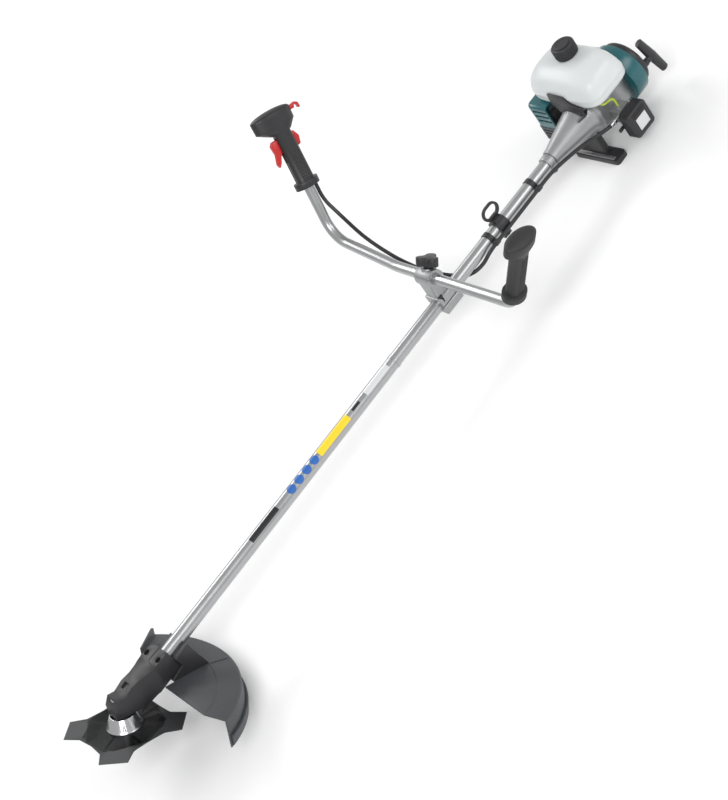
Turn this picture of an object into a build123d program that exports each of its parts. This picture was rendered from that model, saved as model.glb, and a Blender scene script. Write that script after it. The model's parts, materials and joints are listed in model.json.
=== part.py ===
"""Straight-shaft petrol brush cutter with a U handlebar and a four-tooth steel blade.

Every piece is drawn in the shaft frame: X runs forward along the main pipe from the place where
the pipe enters the gear case, Y points to the operator's left and Z points up from the shaft axis.
write() then stands the machine on the floor: it rests on the engine stand and on the lowest edge
of the guard skirt, so the shaft frame is pitched up a little and its origin moves to the middle of
the stand's foot.
"""

import os
from math import atan2, cos, degrees, pi, radians, sin, sqrt, tan

from build123d import *

os.makedirs("parts", exist_ok=True)

# ---------------------------------------------------------------- driving dimensions, millimetres
# main pipe and drive shaft
PIPE_R = 14.0
PIPE_WALL = 1.6
PIPE_VISIBLE = 1205.0
PIPE_IN_GEAR_CASE = 44.0
PIPE_IN_CLUTCH_CASE = 32.0
SHAFT_R = 4.0
RUN = 0.05

# gear head
HEAD_TILT = 30.0
HEAD_X = 140.0
PINION_TEETH = 14
GEAR_TEETH = 19
CONE_DISTANCE = 22.0
TOOTH_FACE = 7.0
ARBOR_R = 6.0
BEARING_W = 8.0
BEARING_OUT_R = 14.0
CASE_REAR_X = 8.0

# cutter
BLADE_DROP = 31.0
BLADE_R = 115.0
BLADE_T = 1.8
BLADE_BODY_R = 85.0
BLADE_BORE_R = 10.0
BLADE_TURN = 48.0
TOOTH_TIP_HALF = 27.0
TOOTH_ROOT_HALF = 33.0

# guard, measured from the blade plane along the arbor
GUARD_R = 226.0
GUARD_RISE = 50.0
GUARD_WALL = 3.0
GUARD_SKIRT_BELOW = 10.0
GUARD_LEFT_DEG = 117.0
GUARD_RIGHT_DEG = 223.0
GUARD_FRONT = -82.0
GUARD_BAND_R = 182.0

# handlebar
BAR_X = -862.0
BAR_RISE = 61.0
BAR_R = 11.0
BAR_WALL = 1.6
BAR_LEAN = 20.0

# engine
CASE_FLANGE_X = -1342.0
FLANGE_R = 47.0
FLANGE_T = 9.0
CRANK_X = -1391.0
CRANK_THROW = 16.0
BORE_R = 20.0
FAN_R = 56.0

# engine stand
FOOT_X = -1325.0
FOOT_DROP = 100.0
FOOT_L = 34.0
FOOT_HALF_W = 62.0

# ---------------------------------------------------------------- frames worked out from the above
TILT = radians(HEAD_TILT)
ARBOR = Plane(origin=(HEAD_X, 0, 0), x_dir=(cos(TILT), 0, sin(TILT)), z_dir=(-sin(TILT), 0, cos(TILT)))
ARBOR_AXIS = Axis((HEAD_X, 0, 0), (-sin(TILT), 0, cos(TILT)))
SHAFT_AXIS = Axis((0, 0, 0), (1, 0, 0))
PIPE_REAR_X = -(PIPE_VISIBLE + PIPE_IN_CLUTCH_CASE)
COLLAR_X = -PIPE_VISIBLE

SKIRT_DROP = BLADE_DROP + GUARD_SKIRT_BELOW
LOW_X = HEAD_X + SKIRT_DROP * sin(TILT) - GUARD_R * cos(TILT)
LOW_Z = -SKIRT_DROP * cos(TILT) - GUARD_R * sin(TILT)
PITCH = atan2(-LOW_Z - FOOT_DROP, LOW_X - FOOT_X)
REST = Location((0, 0, 0), (0, -degrees(PITCH), 0)) * Location((-FOOT_X, 0, FOOT_DROP))
FLOOR_PLANE = Plane(
    origin=(FOOT_X, 0, -FOOT_DROP),
    x_dir=(cos(PITCH), 0, -sin(PITCH)),
    z_dir=(sin(PITCH), 0, cos(PITCH)),
)

LEAN = radians(BAR_LEAN)
BAR_PLANE = Plane(
    origin=(BAR_X, 0, BAR_RISE),
    x_dir=(0, 1, 0),
    z_dir=(cos(LEAN), 0, sin(LEAN)),
)


def write(piece, name):
    """Stand the finished piece on the floor frame and save it as one STEP file."""
    placed = REST * piece.part
    placed.label = name
    export_step(placed, "parts/" + name + ".step")


def yz(x):
    """Plane across the shaft at x, with its normal pointing forward."""
    return Plane(origin=(x, 0, 0), x_dir=(0, 1, 0), z_dir=(1, 0, 0))


def across(x, y=0.0, z=0.0):
    """Plane across the shaft centred on a point, x_dir to the left and normal forward."""
    return Plane(origin=(x, y, z), x_dir=(0, 1, 0), z_dir=(1, 0, 0))


def level(x, y, z):
    """Plane looking up, centred on a point."""
    return Plane(origin=(x, y, z), x_dir=(1, 0, 0), z_dir=(0, 0, 1))


def side(x, y, z):
    """Plane looking to the left, centred on a point, x_dir rearward and y up."""
    return Plane(origin=(x, y, z), x_dir=(-1, 0, 0), z_dir=(0, 1, 0))


def disc(plane, r, depth, mode=Mode.ADD):
    """Round bar on a plane."""
    with BuildSketch(plane) as outline:
        Circle(r)
    extrude(outline.sketch, amount=depth, mode=mode)


def slab(plane, w, h, depth, corner=0.0, mode=Mode.ADD):
    """Rectangular bar on a plane, with rounded corners when corner is given."""
    with BuildSketch(plane) as outline:
        if corner > 0:
            RectangleRounded(w, h, corner)
        else:
            Rectangle(w, h)
    extrude(outline.sketch, amount=depth, mode=mode)


def polygon(plane, points, depth, both=False, mode=Mode.ADD):
    """Straight-sided outline on a plane, made solid."""
    with BuildSketch(plane) as outline:
        with BuildLine():
            Polyline(*points, close=True)
        make_face()
    extrude(outline.sketch, amount=depth, both=both, mode=mode)


XZ_MID = Plane(origin=(0, 0, 0), x_dir=(1, 0, 0), z_dir=(0, -1, 0))

# ================================================================ main pipe and drive shaft
with BuildPart() as main_pipe:
    disc(yz(PIPE_REAR_X), PIPE_R, PIPE_IN_GEAR_CASE - PIPE_REAR_X)
    disc(yz(PIPE_REAR_X), PIPE_R - PIPE_WALL, PIPE_IN_GEAR_CASE - PIPE_REAR_X, mode=Mode.SUBTRACT)
write(main_pipe, "main_pipe")

DRUM_FRONT_X = CASE_FLANGE_X + 42.0
DRUM_BOSS_X = DRUM_FRONT_X + 40.0
PINION_HUB_R = 6.0
PINION_REAR_X = 62.0
PINION_SOCKET = 28.0
PINION_BEARING_X = 82.0

with BuildPart() as drive_shaft:
    shaft_rear = DRUM_FRONT_X + 8
    disc(yz(shaft_rear), SHAFT_R, PINION_REAR_X + PINION_SOCKET - shaft_rear)
write(drive_shaft, "drive_shaft")

BUSH_COUNT = 5
BUSH_L = 28.0
with BuildPart() as shaft_bushes:
    bush_pitch = (PIPE_VISIBLE - 160) / (BUSH_COUNT - 1)
    for i in range(BUSH_COUNT):
        x = -80 - i * bush_pitch
        disc(yz(x - BUSH_L / 2), PIPE_R - PIPE_WALL, BUSH_L)
    disc(yz(PIPE_REAR_X), SHAFT_R + RUN, PIPE_VISIBLE + PIPE_IN_CLUTCH_CASE, mode=Mode.SUBTRACT)
write(shaft_bushes, "shaft_bushes")

# ================================================================ gear head
SHAFT_ANGLE = radians(90 - HEAD_TILT)
PINION_CONE = atan2(sin(SHAFT_ANGLE), GEAR_TEETH / PINION_TEETH + cos(SHAFT_ANGLE))
GEAR_CONE = SHAFT_ANGLE - PINION_CONE
MODULE = 2 * CONE_DISTANCE * sin(GEAR_CONE) / GEAR_TEETH
ADDENDUM = 0.62 * MODULE
DEDENDUM = 1.05 * MODULE
TOOTH_SHARE = 0.36


def bevel_tooth_face(apex, axial, radial, around, cone, teeth, reach):
    """One tooth's cross-section at a cone distance, as four points about its own pitch point."""
    grow = reach / CONE_DISTANCE
    pitch_r = reach * sin(cone)
    half = TOOTH_SHARE * pi * pitch_r / teeth
    out = radial * cos(cone) - axial * sin(cone)
    spot = apex + axial * (reach * cos(cone)) + radial * pitch_r
    corners = []
    for height, wide in ((-DEDENDUM * 1.15, 1.35), (-DEDENDUM * 1.15, -1.35), (ADDENDUM, -0.55), (ADDENDUM, 0.55)):
        corners.append(spot + out * (height * grow) + around * (half * wide))
    return corners


def bevel_teeth(apex, axial, start, cone, teeth, phase):
    """Tapered straight teeth round a cone whose tip is the point where both shafts meet."""
    side_dir = axial.cross(start)
    for i in range(teeth):
        angle = 2 * pi * (i + phase) / teeth
        radial = start * cos(angle) + side_dir * sin(angle)
        around = axial.cross(radial)
        faces = []
        for reach in (CONE_DISTANCE, CONE_DISTANCE - TOOTH_FACE):
            corners = bevel_tooth_face(apex, axial, radial, around, cone, teeth, reach)
            faces.append(Wire.make_polygon(corners, close=True))
        add(Solid.make_loft(faces, ruled=True))


APEX = Vector(HEAD_X, 0, 0)
BACK = Vector(-1, 0, 0)
UP = Vector(-sin(TILT), 0, cos(TILT))
FRONT = Vector(cos(TILT), 0, sin(TILT))


def root_cone(plane_origin, axial, cone):
    """The blank under the teeth: a frustum from the outer to the inner end of the tooth face."""
    outer = CONE_DISTANCE
    inner = CONE_DISTANCE - TOOTH_FACE
    shrink = 1 - DEDENDUM / CONE_DISTANCE / tan(cone)
    plane = Plane(origin=plane_origin + axial * (inner * cos(cone)), z_dir=axial)
    r_in = inner * sin(cone) * shrink
    r_out = outer * sin(cone) * shrink
    with BuildSketch(plane) as inner_end:
        Circle(r_in)
    with BuildSketch(plane.offset(TOOTH_FACE * cos(cone))) as outer_end:
        Circle(r_out)
    loft([inner_end.sketch, outer_end.sketch])


with BuildPart() as pinion_gear:
    root_cone(APEX, BACK, PINION_CONE)
    bevel_teeth(APEX, BACK, Vector(0, 0, 1), PINION_CONE, PINION_TEETH, 0.0)
    hub_front_x = HEAD_X - CONE_DISTANCE * cos(PINION_CONE) + 0.5
    disc(yz(PINION_REAR_X), PINION_HUB_R, hub_front_x - PINION_REAR_X)
    disc(yz(PINION_REAR_X), SHAFT_R, PINION_SOCKET, mode=Mode.SUBTRACT)
write(pinion_gear, "pinion_gear")

GEAR_TOP = CONE_DISTANCE * cos(GEAR_CONE)
with BuildPart() as arbor_gear:
    root_cone(APEX, UP, GEAR_CONE)
    bevel_teeth(APEX, UP, FRONT * -1, GEAR_CONE, GEAR_TEETH, 0.5)
    disc(ARBOR.offset(GEAR_TOP - 0.5), 9.0, 5.5)
    disc(ARBOR, ARBOR_R, 60, mode=Mode.SUBTRACT)
write(arbor_gear, "arbor_gear")

UPPER_BEARING = GEAR_TOP + 5.5
LOWER_BEARING = -6.0 - BEARING_W
CASE_MOUTH = LOWER_BEARING - 2.5
RECEIVER_TOP = CASE_MOUTH - 0.6
THREAD_R = 5.0
ARBOR_END = -BLADE_DROP - 19.0

with BuildPart() as arbor:
    disc(ARBOR.offset(-BLADE_DROP), ARBOR_R, BLADE_DROP + UPPER_BEARING + BEARING_W)
    disc(ARBOR.offset(ARBOR_END), THREAD_R, -BLADE_DROP - ARBOR_END)
write(arbor, "arbor")


BOSS_R = 19.0
CONE_ROOM_R = 37.5
CONE_TOP = -3.5
CASE_TOP = UPPER_BEARING + BEARING_W
CASE_HALF_W = 27.0
BELLY_FRONT_X = 60.0
BELLY_FRONT_Z = -29.0
BELLY_REAR_Z = -23.0
BELLY_SLOPE = (BELLY_REAR_Z - BELLY_FRONT_Z) / (BELLY_FRONT_X - CASE_REAR_X)
BOLT_X = 28.0
BOLT_Y = 20.0
BOLT_HEAD_R = 5.0
BOLT_SHANK_R = 3.0


def arbor_point(forward, up):
    """Shaft-frame x and z of a place given along and across the arbor."""
    spot = APEX + FRONT * forward + UP * up
    return (spot.X, spot.Z)


with BuildPart() as gear_case:
    front_low = arbor_point(BOSS_R, CASE_MOUTH)
    rear_low = arbor_point(-BOSS_R, CASE_MOUTH)
    front_high = arbor_point(BOSS_R, CASE_TOP - 14)
    rear_high = arbor_point(BOSS_R - 8, CASE_TOP + 3)
    crown = arbor_point(-4, CASE_TOP + 3)
    belly = ((104, -24), (BELLY_FRONT_X, BELLY_FRONT_Z), (CASE_REAR_X, BELLY_REAR_Z))
    spine = ((CASE_REAR_X, 23), (60, 25), (96, 31))
    outline = [spine[0], spine[1], spine[2], crown, rear_high, front_high, front_low, rear_low]
    polygon(XZ_MID, outline + list(belly), CASE_HALF_W, both=True)
    polygon(
        level(0, 0, -60),
        [(CASE_REAR_X, -26), (44, -27), (52, -25.5), (76, -19.5), (112, -19.5), (148, -19.5), (160, -13), (166, -5),
         (166, 5), (160, 13), (148, 19.5), (112, 19.5), (76, 19.5), (52, 25.5), (44, 27), (CASE_REAR_X, 26)],
        130,
        mode=Mode.INTERSECT,
    )
    with BuildSketch(across(CASE_REAR_X - 1, 0, 5)):
        RectangleRounded(54.5, 72, 15)
    extrude(amount=200, mode=Mode.INTERSECT)
    disc(yz(CASE_REAR_X - 1), PIPE_R, PIPE_IN_GEAR_CASE - CASE_REAR_X + 1, mode=Mode.SUBTRACT)
    disc(yz(PIPE_IN_GEAR_CASE - 1), 10, PINION_BEARING_X - PIPE_IN_GEAR_CASE + 1, mode=Mode.SUBTRACT)
    disc(yz(PINION_BEARING_X), BEARING_OUT_R, 2 * BEARING_W, mode=Mode.SUBTRACT)
    disc(yz(PINION_BEARING_X + 16), 12.5, HEAD_X - PINION_BEARING_X - 16, mode=Mode.SUBTRACT)
    disc(ARBOR.offset(CASE_MOUTH - 1), BEARING_OUT_R, UPPER_BEARING - CASE_MOUTH + 1, mode=Mode.SUBTRACT)
    disc(ARBOR.offset(UPPER_BEARING - 1), BEARING_OUT_R, BEARING_W + 1, mode=Mode.SUBTRACT)
    disc(ARBOR.offset(CASE_MOUTH - 20), 40, 20, mode=Mode.SUBTRACT)
    with BuildSketch(ARBOR.offset(CASE_MOUTH - 1)) as cone_room:
        Circle(CONE_ROOM_R)
        Circle(BOSS_R - 0.5, mode=Mode.SUBTRACT)
    extrude(cone_room.sketch, amount=CONE_TOP + 2 - CASE_MOUTH + 1, mode=Mode.SUBTRACT)
    for y in (-BOLT_Y, BOLT_Y):
        disc(level(BOLT_X, y, 12), BOLT_HEAD_R + 1, 20, mode=Mode.SUBTRACT)
        disc(level(BOLT_X, y, -8), BOLT_SHANK_R, 30, mode=Mode.SUBTRACT)
    slab(level(CASE_REAR_X + 14, 0, 12), 30, 1.6, 30, mode=Mode.SUBTRACT)
    slab(level(100, 0, 27), 14, 16, 10, corner=3, mode=Mode.SUBTRACT)
write(gear_case, "gear_case")

# ================================================================ cutter
CONE_BASE_R = 35.0
CONE_TOP_R = 24.0
CONE_WALL = 2.2
PILOT_R = BLADE_BORE_R
with BuildPart() as blade_receiver:
    with BuildSketch(Plane(origin=(HEAD_X, 0, 0), x_dir=ARBOR.x_dir, z_dir=(0, -1, 0))):
        with BuildLine():
            Polyline(
                (ARBOR_R, RECEIVER_TOP),
                (11.0, RECEIVER_TOP),
                (11.0, -BLADE_DROP + 4),
                (CONE_BASE_R - 3.5, -BLADE_DROP + 4),
                (CONE_TOP_R - CONE_WALL, CONE_TOP),
                (CONE_TOP_R, CONE_TOP),
                (CONE_BASE_R - 1, -BLADE_DROP + 5),
                (CONE_BASE_R, -BLADE_DROP + 4),
                (CONE_BASE_R, -BLADE_DROP),
                (PILOT_R, -BLADE_DROP),
                (PILOT_R, -BLADE_DROP - BLADE_T + 0.2),
                (ARBOR_R, -BLADE_DROP - BLADE_T + 0.2),
                close=True,
            )
        make_face()
    revolve(axis=ARBOR_AXIS)
    disc(ARBOR.offset(-60), ARBOR_R, 100, mode=Mode.SUBTRACT)
    disc(ARBOR.offset(CONE_TOP - 5) * Pos(0, -CONE_TOP_R, 0), 3.0, 10, mode=Mode.SUBTRACT)
write(blade_receiver, "blade_receiver")

BLADE_PLANE = ARBOR.offset(-BLADE_DROP - BLADE_T)
with BuildPart() as cutter_blade:
    with BuildSketch(BLADE_PLANE):
        Circle(BLADE_BODY_R)
        tooth_end = sqrt(BLADE_R**2 - TOOTH_TIP_HALF**2)
        tooth_root = sqrt(BLADE_BODY_R**2 - TOOTH_ROOT_HALF**2) - 4
        for i in range(4):
            with Locations(Location((0, 0, 0), (0, 0, BLADE_TURN + 90 * i))):
                Polygon(
                    (tooth_root, -TOOTH_ROOT_HALF),
                    (tooth_end, -TOOTH_TIP_HALF),
                    (tooth_end, TOOTH_TIP_HALF),
                    (tooth_root, TOOTH_ROOT_HALF),
                    align=None,
                )
        with PolarLocations(26, 4, start_angle=BLADE_TURN):
            Circle(3.0, mode=Mode.SUBTRACT)
        Circle(BLADE_BORE_R, mode=Mode.SUBTRACT)
    extrude(amount=BLADE_T)
write(cutter_blade, "cutter_blade")

WASHER_T = 3.5
WASHER_TOP = -BLADE_DROP - BLADE_T
with BuildPart() as clamp_washer:
    disc(ARBOR.offset(WASHER_TOP - WASHER_T), 18, WASHER_T)
    disc(ARBOR.offset(WASHER_TOP - WASHER_T), ARBOR_R, WASHER_T, mode=Mode.SUBTRACT)
write(clamp_washer, "clamp_washer")

NUT_TOP = WASHER_TOP - WASHER_T
with BuildPart() as blade_nut:
    with BuildSketch(ARBOR.offset(NUT_TOP - 9)):
        RegularPolygon(9.8, 6)
        Circle(THREAD_R, mode=Mode.SUBTRACT)
    extrude(amount=9)
write(blade_nut, "blade_nut")

# ================================================================ guard
PLATE_TOP = GUARD_RISE - BLADE_DROP
PLATE_RAISE = 5.0
SKIRT_END = -BLADE_DROP - GUARD_SKIRT_BELOW


def guard_ray(angle):
    """Plane through the arbor axis at an angle from straight ahead, x outwards and y up the arbor."""
    turn = radians(angle)
    out = FRONT * cos(turn) + Vector(0, 1, 0) * sin(turn)
    return Plane(origin=APEX, x_dir=out, z_dir=out.cross(UP))


def sweep_round(points, start, end, mode=Mode.ADD):
    """Turn a section about the arbor axis from one angle to another."""
    with BuildSketch(guard_ray(start)) as section:
        with BuildLine():
            Polyline(*points, close=True)
        make_face()
    revolve(section.sketch, axis=ARBOR_AXIS, revolution_arc=end - start, mode=mode)


GUARD_WEB_W = 30.0
with BuildPart() as guard_plate:
    sweep_round(
        [
            (60, PLATE_TOP + PLATE_RAISE),
            (GUARD_BAND_R, PLATE_TOP + PLATE_RAISE),
            (GUARD_R - 3, PLATE_TOP),
            (GUARD_R, PLATE_TOP - 3),
            (GUARD_R, SKIRT_END),
            (GUARD_R - GUARD_WALL, SKIRT_END),
            (GUARD_R - GUARD_WALL, PLATE_TOP - GUARD_WALL - 1),
            (GUARD_BAND_R, PLATE_TOP + PLATE_RAISE - GUARD_WALL),
            (60, PLATE_TOP + PLATE_RAISE - GUARD_WALL),
        ],
        GUARD_LEFT_DEG,
        GUARD_RIGHT_DEG,
    )
    slab(ARBOR.offset(-80) * Pos(GUARD_FRONT + 150, 0, 0), 300, 600, 200, mode=Mode.SUBTRACT)
    slab(ARBOR * Pos(GUARD_FRONT - 4.5, 0, 0), 33, 2 * GUARD_WEB_W, 60, mode=Mode.SUBTRACT)
    sweep_round(
        [(150, PLATE_TOP), (GUARD_R - 1, PLATE_TOP - 2), (GUARD_R - 1, PLATE_TOP + 13), (150, PLATE_TOP + 17)],
        GUARD_RIGHT_DEG - 1.5,
        GUARD_RIGHT_DEG,
    )
write(guard_plate, "guard_plate")

EXT_START_DEG = 167.0
with BuildPart() as guard_extension:
    sweep_round(
        [
            (GUARD_R + 0.0, -BLADE_DROP + 14),
            (GUARD_R + 5.5, -BLADE_DROP + 14),
            (GUARD_R + 5.5, -BLADE_DROP + 9),
            (GUARD_R + 3.0, -BLADE_DROP + 7),
            (GUARD_R + 3.0, SKIRT_END + 3),
            (GUARD_R + 0.0, SKIRT_END + 3),
        ],
        GUARD_LEFT_DEG + 1,
        EXT_START_DEG,
    )
write(guard_extension, "guard_extension")

BRACKET_REAR_X = -28.0
BRACKET_FRONT_X = 38.0


def plate_z(x):
    """Height of the guard plate's upper face under a place on the shaft."""
    rise = PLATE_TOP + PLATE_RAISE
    return (rise + (x - HEAD_X) * sin(TILT)) / cos(TILT)


with BuildPart() as guard_bracket:
    polygon(
        XZ_MID,
        [
            (BRACKET_REAR_X, -PIPE_R - 9),
            (BRACKET_REAR_X, plate_z(BRACKET_REAR_X)),
            (BRACKET_FRONT_X, plate_z(BRACKET_FRONT_X)),
            (BRACKET_FRONT_X, BELLY_REAR_Z - (BRACKET_FRONT_X - CASE_REAR_X) * BELLY_SLOPE),
            (CASE_REAR_X, BELLY_REAR_Z),
            (CASE_REAR_X, 0),
            (BRACKET_REAR_X, 0),
        ],
        GUARD_WEB_W - 0.1,
        both=True,
    )
    disc(yz(BRACKET_REAR_X), PIPE_R, CASE_REAR_X - BRACKET_REAR_X, mode=Mode.SUBTRACT)
    for y in (-19.5, 19.5):
        slab(level((BRACKET_REAR_X + CASE_REAR_X) / 2, y, -90), 26, 15, 82, mode=Mode.SUBTRACT)
    slab(level((BRACKET_REAR_X + CASE_REAR_X) / 2, 0, -100), 26, 16, 78, mode=Mode.SUBTRACT)
write(guard_bracket, "guard_bracket")

# ================================================================ handlebar and its clamp
CLAMP_LOW_X = 24.0
CLAMP_SEAT = 10.0

CAP_LEAN = radians(38)
CAP_PLANE = Plane(origin=(BAR_X, 0, BAR_RISE), x_dir=(cos(CAP_LEAN), 0, sin(CAP_LEAN)),
                  z_dir=(-sin(CAP_LEAN), 0, cos(CAP_LEAN)))
SADDLE_R = 19.0
SADDLE_HALF_W = 22.0
CAP_GAP = 0.6

with BuildPart() as pipe_clamp_upper:
    slab(across(BAR_X - CLAMP_LOW_X, 0, 11.5), 46, 22, 2 * CLAMP_LOW_X, corner=5)
    with BuildSketch(level(BAR_X, 0, 20)) as foot_end:
        RectangleRounded(44, 36, 6)
    with BuildSketch(level(BAR_X, 0, BAR_RISE)) as bar_end:
        RectangleRounded(2 * SADDLE_R - 2, 2 * SADDLE_HALF_W - 2, 6)
    loft([foot_end.sketch, bar_end.sketch])
    disc(side(BAR_X, -SADDLE_HALF_W, BAR_RISE), SADDLE_R, 2 * SADDLE_HALF_W)
    slab(CAP_PLANE, 90, 90, 60, mode=Mode.SUBTRACT)
    disc(yz(BAR_X - 40), PIPE_R, 80, mode=Mode.SUBTRACT)
    disc(side(BAR_X, -40, BAR_RISE), BAR_R, 80, mode=Mode.SUBTRACT)
    slab(level(BAR_X, 0, -30), 90, 90, 30.6, mode=Mode.SUBTRACT)
    for x in (-15, 15):
        for y in (-18.5, 18.5):
            disc(level(BAR_X + x, y, CLAMP_SEAT), 4.8, 16, mode=Mode.SUBTRACT)
write(pipe_clamp_upper, "pipe_clamp_upper")

with BuildPart() as pipe_clamp_lower:
    slab(across(BAR_X - CLAMP_LOW_X, 0, -10.5), 46, 21, 2 * CLAMP_LOW_X, corner=5)
    disc(yz(BAR_X - 40), PIPE_R, 80, mode=Mode.SUBTRACT)
    slab(level(BAR_X, 0, -0.6), 90, 90, 30, mode=Mode.SUBTRACT)
write(pipe_clamp_lower, "pipe_clamp_lower")

CAP_H = 18.0
with BuildPart() as bar_clamp_cap:
    disc(side(BAR_X, -SADDLE_HALF_W, BAR_RISE), SADDLE_R, 2 * SADDLE_HALF_W)
    disc(CAP_PLANE, 15, CAP_H)
    slab(CAP_PLANE.offset(CAP_GAP - 60), 90, 90, 60, mode=Mode.SUBTRACT)
    slab(CAP_PLANE.offset(CAP_H), 90, 90, 30, mode=Mode.SUBTRACT)
    disc(side(BAR_X, -40, BAR_RISE), BAR_R, 80, mode=Mode.SUBTRACT)
write(bar_clamp_cap, "bar_clamp_cap")

KNOB_PLANE = CAP_PLANE.offset(CAP_H + 0.3)
with BuildPart() as clamp_knob:
    disc(KNOB_PLANE, 10, 8)
    for i in range(3):
        angle = 90 + 120 * i
        lobe = KNOB_PLANE.offset(5) * Pos(14 * cos(radians(angle)), 14 * sin(radians(angle)), 0)
        disc(lobe, 10.5, 17)
    disc(KNOB_PLANE.offset(5), 14, 17)
write(clamp_knob, "clamp_knob")

# handlebar centre line in its own leaning plane: across, and up the lean
BAR_ROUTE = [(-362, 262), (-296, 24), (-96, 0), (243, 0), (308, 130)]
BAR_BENDS = [62, 130, 30]
with BuildPart() as handlebar:
    with BuildLine(BAR_PLANE) as bar_line:
        FilletPolyline(*BAR_ROUTE, radius=BAR_BENDS)
    bar_start = Plane(
        origin=BAR_PLANE.from_local_coords(Vector(*BAR_ROUTE[0])),
        z_dir=BAR_PLANE.from_local_coords(Vector(*BAR_ROUTE[1])) - BAR_PLANE.from_local_coords(Vector(*BAR_ROUTE[0])),
    )
    with BuildSketch(bar_start) as bar_ring:
        Circle(BAR_R)
        Circle(BAR_R - BAR_WALL, mode=Mode.SUBTRACT)
    sweep(bar_ring.sketch, path=bar_line.wires()[0])
write(handlebar, "handlebar")


def bar_frame(top, bottom):
    """Frame on an upright end of the bar: z up the tube, x forward, y to the left."""
    high = BAR_PLANE.from_local_coords(Vector(*top))
    low = BAR_PLANE.from_local_coords(Vector(*bottom))
    up = (high - low).normalized()
    ahead = Vector(1, 0, 0) - up * up.X
    return Plane(origin=high, x_dir=ahead, z_dir=up)


RIGHT_TOP = bar_frame(BAR_ROUTE[0], BAR_ROUTE[1])
LEFT_TOP = bar_frame(BAR_ROUTE[-1], BAR_ROUTE[-2])

# ---------------------------------------------------------------- throttle grip, operator's right
GRIP_DOWN = 128.0
GRIP_HEAD_RISE = 10.0
GRIP_HEAD_H = 26.0
GRIP_W = 32.0
GRIP_D = 38.0
TRIGGER_BAY = (-66.0, -12.0)


def grip_core():
    """Outside of the throttle housing before it is split and hollowed."""
    slab(RIGHT_TOP.offset(-GRIP_DOWN + 12), GRIP_D, GRIP_W, GRIP_DOWN - 8, corner=13)
    with BuildSketch(RIGHT_TOP.offset(-GRIP_DOWN)) as flange:
        Ellipse(27, 23)
    extrude(flange.sketch, amount=14)
    with BuildSketch(RIGHT_TOP.offset(-6)) as neck:
        Ellipse(24, 18)
    with BuildSketch(RIGHT_TOP.offset(GRIP_HEAD_RISE) * Pos(6, 0, 0)) as shoulder:
        Ellipse(46, 22)
    with BuildSketch(RIGHT_TOP.offset(GRIP_HEAD_RISE + GRIP_HEAD_H) * Pos(6, 0, 0)) as crown_face:
        Ellipse(47, 22)
    loft([neck.sketch, shoulder.sketch])
    loft([shoulder.sketch, crown_face.sketch])


def grip_hollows():
    """Room for the bar, the trigger, the lock lever and the switch."""
    disc(RIGHT_TOP.offset(-GRIP_DOWN - 5), BAR_R, GRIP_DOWN + 5, mode=Mode.SUBTRACT)
    slab(RIGHT_TOP.offset(TRIGGER_BAY[0]) * Pos(22, 0, 0), 20, 11, TRIGGER_BAY[1] - TRIGGER_BAY[0],
         mode=Mode.SUBTRACT)
    slab(RIGHT_TOP.offset(-50) * Pos(-20, 0, 0), 16, 9, 40, mode=Mode.SUBTRACT)
    slab(RIGHT_TOP.offset(GRIP_HEAD_RISE + 12) * Pos(-38, 0, 0), 24, 13, 20, mode=Mode.SUBTRACT)
    slab(RIGHT_TOP.offset(4) * Pos(8, 0, 0), 50, 24, 24, mode=Mode.SUBTRACT)


with BuildPart() as throttle_grip_left:
    grip_core()
    grip_hollows()
    slab(RIGHT_TOP.offset(-200) * Pos(0, -50, 0), 200, 100, 400, mode=Mode.SUBTRACT)
write(throttle_grip_left, "throttle_grip_left")

with BuildPart() as throttle_grip_right:
    grip_core()
    grip_hollows()
    slab(RIGHT_TOP.offset(-200) * Pos(0, 50, 0), 200, 100, 400, mode=Mode.SUBTRACT)
write(throttle_grip_right, "throttle_grip_right")

SIDE_OF_GRIP = Plane(origin=RIGHT_TOP.origin, x_dir=RIGHT_TOP.x_dir, z_dir=-RIGHT_TOP.y_dir)
with BuildPart() as throttle_trigger:
    polygon(
        SIDE_OF_GRIP,
        [(16.5, -14.5), (30, -14.5), (36, -22), (34, -40), (40, -60), (37, -68), (30, -60), (24, -48), (19, -44)],
        5.0,
        both=True,
    )
write(throttle_trigger, "throttle_trigger")

with BuildPart() as lock_lever:
    polygon(
        SIDE_OF_GRIP,
        [(-14.5, -14), (-24, -14), (-31, -28), (-27, -44), (-21, -46), (-17, -36)],
        4.0,
        both=True,
    )
write(lock_lever, "lock_lever")

with BuildPart() as stop_switch:
    polygon(
        SIDE_OF_GRIP,
        [(-34, 24), (-34, 31), (-54, 35), (-60, 31), (-61, 20), (-57, 20), (-56, 28), (-50, 30), (-48, 24)],
        6.0,
        both=True,
    )
write(stop_switch, "stop_switch")

# ---------------------------------------------------------------- plain grip, operator's left
PLAIN_DOWN = 123.0
with BuildPart() as left_grip:
    with BuildSketch(LEFT_TOP.offset(-PLAIN_DOWN)) as flange:
        Ellipse(26, 22)
    extrude(flange.sketch, amount=14)
    slab(LEFT_TOP.offset(-PLAIN_DOWN + 10), 34, 29, PLAIN_DOWN - 6, corner=11)
    with BuildSketch(LEFT_TOP.offset(-4)) as neck:
        Ellipse(20, 16)
    with BuildSketch(LEFT_TOP.offset(10) * Pos(2, 0, 0)) as shoulder:
        Ellipse(40, 20)
    loft([neck.sketch, shoulder.sketch])
    with BuildSketch(LEFT_TOP.offset(10) * Pos(2, 0, 0)) as crown_face:
        Ellipse(40, 20)
    extrude(crown_face.sketch, amount=18)
    disc(LEFT_TOP.offset(-PLAIN_DOWN - 5), BAR_R, PLAIN_DOWN + 5, mode=Mode.SUBTRACT)
write(left_grip, "left_grip")

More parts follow.
